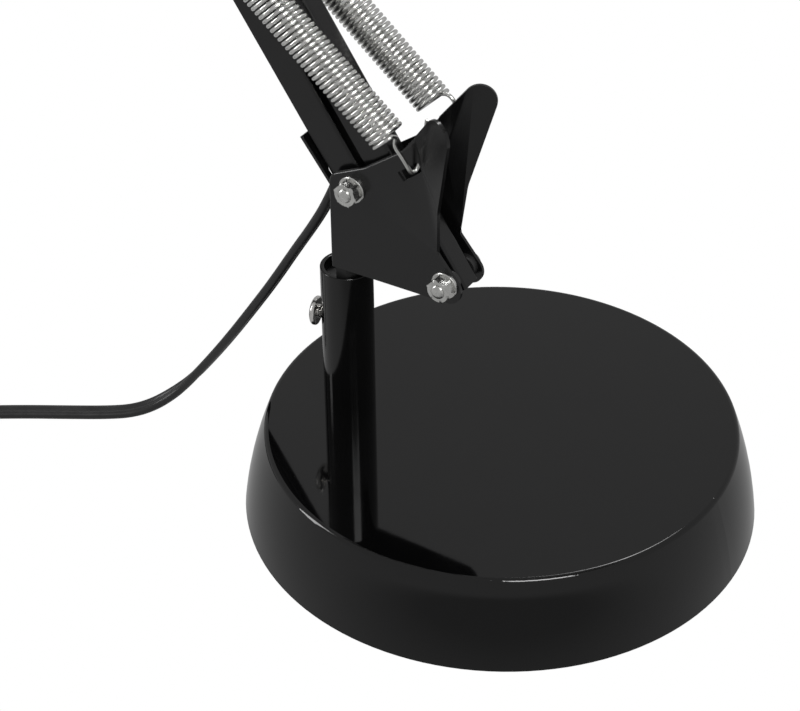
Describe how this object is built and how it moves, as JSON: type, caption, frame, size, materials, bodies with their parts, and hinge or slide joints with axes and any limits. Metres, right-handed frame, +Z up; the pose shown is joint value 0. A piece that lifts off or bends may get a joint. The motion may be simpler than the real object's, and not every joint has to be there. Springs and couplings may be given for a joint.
{
  "type": "architect desk lamp",
  "caption": "Desk lamp with a round weighted base, a swivelling bracket on a short post, spring-balanced parallelogram arms and a tilting bell shade.",
  "frame": {"origin": "on the desk, under the middle of the round base", "axes": "+Z up; the arms move in a vertical plane parallel to XZ through the post, and reach forward to +X; the front plates of the bracket face -Y"},
  "size_m": [0.5625, 0.1955, 0.572],
  "materials": {
    "cover_paint": "smooth gloss black enamel",
    "arm_paint": "semi-gloss black powder coat",
    "post_paint": "gloss black enamel",
    "shade_paint": "gloss black outside",
    "zinc": "bright zinc plate",
    "bright_screw": "bright turned steel",
    "spring_steel": "bright plated spring wire",
    "pin_steel": "plated rod",
    "iron": "raw casting, sealed inside",
    "plate_steel": "bare sheet",
    "pad": "matt foam rubber",
    "nylon": "moulded nylon",
    "holder_plastic": "moulded phenolic",
    "thread_brass": "plain",
    "cap_metal": "plain",
    "frosted_glass": "frosted white",
    "lead_pvc": "satin flexible vinyl",
    "tie_pvc": "coated wire tie",
    "blade_brass": "plain"
  },
  "bodies": {
    "base": {"base_shell": "cover_paint", "base_weight": "iron", "base_plate": "plate_steel", "base_pad": "pad", "plate_screws": "zinc", "post_tube": "post_paint", "post_plug": "iron", "post_bolt": "zinc", "post_washer": "zinc", "cord_run": "lead_pvc", "cord_coil": "lead_pvc", "coil_tie": "tie_pvc", "plug_body": "lead_pvc", "plug_blades": "blade_brass"},
    "set_screw": {"set_screw": "bright_screw"},
    "bracket": {"arm_bracket": "arm_paint", "bracket_spigot": "pin_steel", "bracket_rivets": "zinc", "bracket_bolts": "zinc", "bracket_nuts": "zinc", "bracket_washers": "zinc", "bracket_spacers": "nylon", "lead_at_bracket": "lead_pvc"},
    "lower_rear_bar": {"lower_rear_bar": "arm_paint", "lower_spring_pin": "pin_steel", "lead_in_lower_bar": "lead_pvc"},
    "lower_front_bar": {"lower_front_bar": "arm_paint"},
    "elbow": {"elbow_front_plate": "arm_paint", "elbow_rear_plate": "arm_paint", "elbow_bolts": "zinc", "elbow_nuts": "zinc", "elbow_washers": "zinc", "elbow_spacers": "nylon", "lead_at_elbow": "lead_pvc"},
    "upper_top_bar": {"upper_top_bar": "arm_paint", "upper_spring_pin": "pin_steel", "lead_in_upper_bar": "lead_pvc"},
    "upper_under_bar": {"upper_under_bar": "arm_paint"},
    "head": {"head_front_plate": "arm_paint", "head_rear_plate": "arm_paint", "head_bolts": "zinc", "head_nuts": "zinc", "head_washers": "zinc", "head_spacers": "nylon", "lead_at_head": "lead_pvc"},
    "shade": {"shade_lug": "shade_paint", "shade_cap": "shade_paint", "shade_shell": "shade_paint", "shade_screws": "zinc", "lampholder": "holder_plastic", "lampholder_thread": "thread_brass", "bulb_base": "cap_metal", "bulb_glass": "frosted_glass", "cap_gland": "holder_plastic"},
    "switch": {"switch_knob": "holder_plastic"},
    "lower_spring_foot": {"lower_springs": "spring_steel"},
    "lower_spring_head": {"lower_spring_loops": "spring_steel"},
    "upper_spring_foot": {"upper_springs": "spring_steel"},
    "upper_spring_head": {"upper_spring_loops": "spring_steel"}
  },
  "joints": [
    {"name": "swivel", "type": "hinge", "parent": "base", "child": "bracket", "pos_m": [-0.0531, -0.0193, 0.092], "axis": [0, 0, 1], "range_deg": [-90, 90], "deforming": ["cord_run"]},
    {"name": "set_screw_turn", "type": "hinge", "parent": "base", "child": "set_screw", "pos_m": [-0.0531, -0.0193, 0.074], "axis": [-0.9703, -0.2419, 0], "range_deg": [0, 360]},
    {"name": "lower_arm", "type": "hinge", "parent": "bracket", "child": "lower_rear_bar", "pos_m": [-0.0446, -0.0193, 0.1344], "axis": [0, 1, 0], "range_deg": [-2, 50], "deforming": ["lead_at_bracket", "lower_springs", "lower_spring_loops"]},
    {"name": "lower_link", "type": "hinge", "parent": "bracket", "child": "lower_front_bar", "pos_m": [-0.008, -0.0193, 0.1082], "axis": [0, 1, 0], "range_deg": [-2, 50]},
    {"name": "elbow_turn", "type": "hinge", "parent": "lower_rear_bar", "child": "elbow", "pos_m": [-0.22913, -0.0193, 0.40798], "axis": [0, 1, 0], "range_deg": [-50, 2], "deforming": ["lead_at_elbow"]},
    {"name": "upper_arm", "type": "hinge", "parent": "elbow", "child": "upper_top_bar", "pos_m": [-0.22313, -0.0193, 0.44398], "axis": [0, 1, 0], "range_deg": [-35, 30], "deforming": ["lead_at_elbow", "upper_springs", "upper_spring_loops"]},
    {"name": "upper_link", "type": "hinge", "parent": "elbow", "child": "upper_under_bar", "pos_m": [-0.21013, -0.0193, 0.42148], "axis": [0, 1, 0], "range_deg": [-35, 30]},
    {"name": "head_turn", "type": "hinge", "parent": "upper_top_bar", "child": "head", "pos_m": [0.08697, -0.0193, 0.55685], "axis": [0, 1, 0], "range_deg": [-30, 35], "deforming": ["lead_at_head"]},
    {"name": "shade_tilt", "type": "hinge", "parent": "head", "child": "shade", "pos_m": [0.12097, -0.0193, 0.54085], "axis": [0, 1, 0], "range_deg": [-60, 30], "deforming": ["lead_at_head"]},
    {"name": "switch_turn", "type": "hinge", "parent": "shade", "child": "switch", "pos_m": [0.11594, -0.0193, 0.48156], "axis": [-0.9397, 0, -0.342], "range_deg": [0, 90]},
    {"name": "lower_spring_swing", "type": "hinge", "parent": "bracket", "child": "lower_spring_foot", "pos_m": [-0.0215, -0.0193, 0.1486], "axis": [0, 1, 0], "range_deg": [-2.53, 51.37], "deforming": ["lower_springs", "lower_spring_loops"]},
    {"name": "lower_spring_stretch", "type": "slide", "parent": "lower_spring_foot", "child": "lower_spring_head", "axis": [-0.7219, 0, 0.692], "range_m": [-0.02353, 0.00142], "deforming": ["lower_springs", "lower_spring_loops"]},
    {"name": "upper_spring_swing", "type": "hinge", "parent": "elbow", "child": "upper_spring_foot", "pos_m": [-0.23713, -0.0193, 0.46598], "axis": [0, 1, 0], "range_deg": [-33.35, 28.66], "deforming": ["upper_springs", "upper_spring_loops"]},
    {"name": "upper_spring_stretch", "type": "slide", "parent": "upper_spring_foot", "child": "upper_spring_head", "axis": [0.986, 0, 0.1669], "range_m": [-0.01513, 0.01304], "deforming": ["upper_springs", "upper_spring_loops"]}
  ],
  "couplings": [
    {"joint": "lower_link", "follows": "lower_arm", "ratio": 1},
    {"joint": "elbow_turn", "follows": "lower_arm", "ratio": -1},
    {"joint": "lower_spring_swing", "follows": "lower_arm", "ratio": 1.0173},
    {"joint": "lower_spring_stretch", "follows": "lower_arm", "m_per_rad": -0.026395},
    {"joint": "upper_link", "follows": "upper_arm", "ratio": 1},
    {"joint": "head_turn", "follows": "upper_arm", "ratio": -1},
    {"joint": "upper_spring_swing", "follows": "upper_arm", "ratio": 0.9386},
    {"joint": "upper_spring_stretch", "follows": "upper_arm", "m_per_rad": 0.023947}
  ]
}
